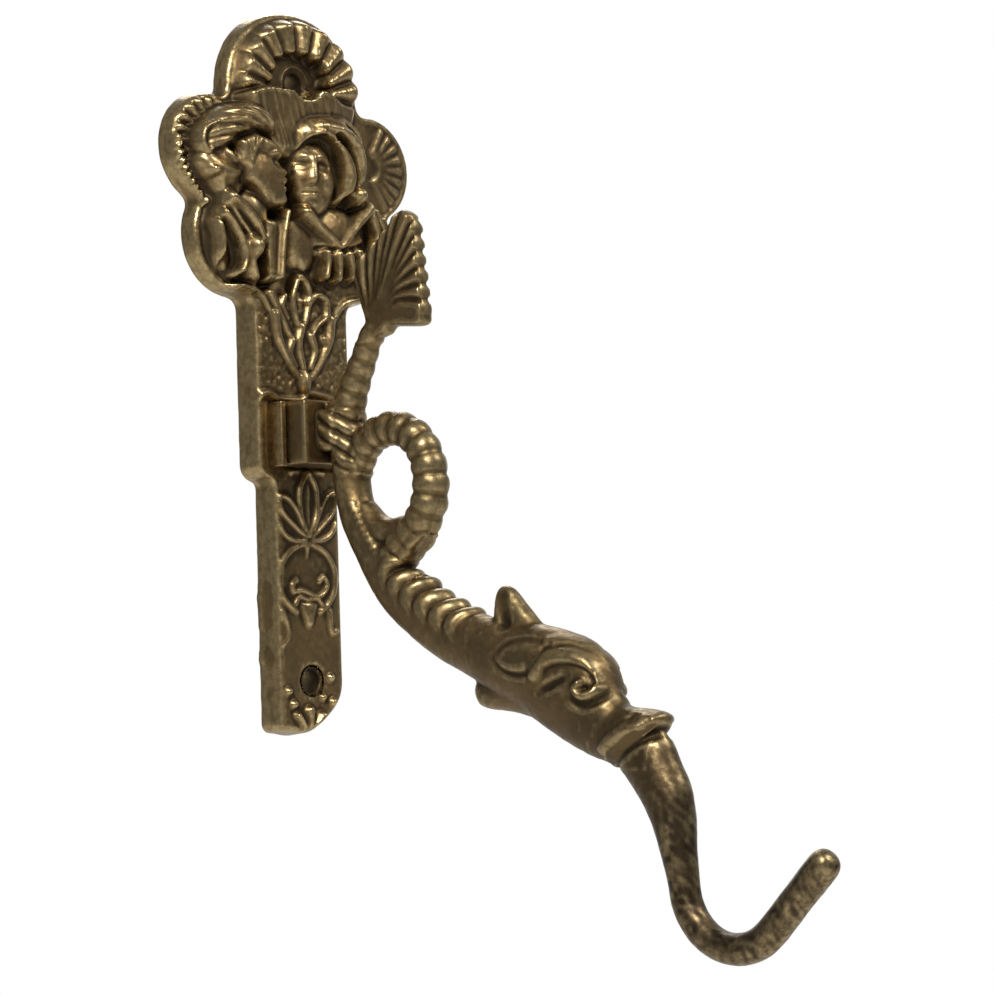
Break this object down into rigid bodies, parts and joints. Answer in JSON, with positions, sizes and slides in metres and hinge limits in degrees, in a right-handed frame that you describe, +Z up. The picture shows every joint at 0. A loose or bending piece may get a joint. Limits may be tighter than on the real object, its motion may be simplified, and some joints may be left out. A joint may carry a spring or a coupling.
{
  "type": "coat hook",
  "caption": "Antique cast brass wall hook: relief plate with busts under a shell canopy, and a sea-beast arm with a coiled tail and an upturned round rod in its mouth.",
  "frame": {"origin": "centre of the lower screw hole, on the wall plane", "axes": "+X to the right of a viewer who faces the hook, +Y into the wall, +Z up"},
  "size_m": [0.059, 0.1236, 0.1738],
  "materials": {
    "cast_brass": "satin"
  },
  "bodies": {
    "root": {"backplate": "cast_brass", "hook_arm": "cast_brass", "arm_screw": "cast_brass"}
  },
  "joints": []
}
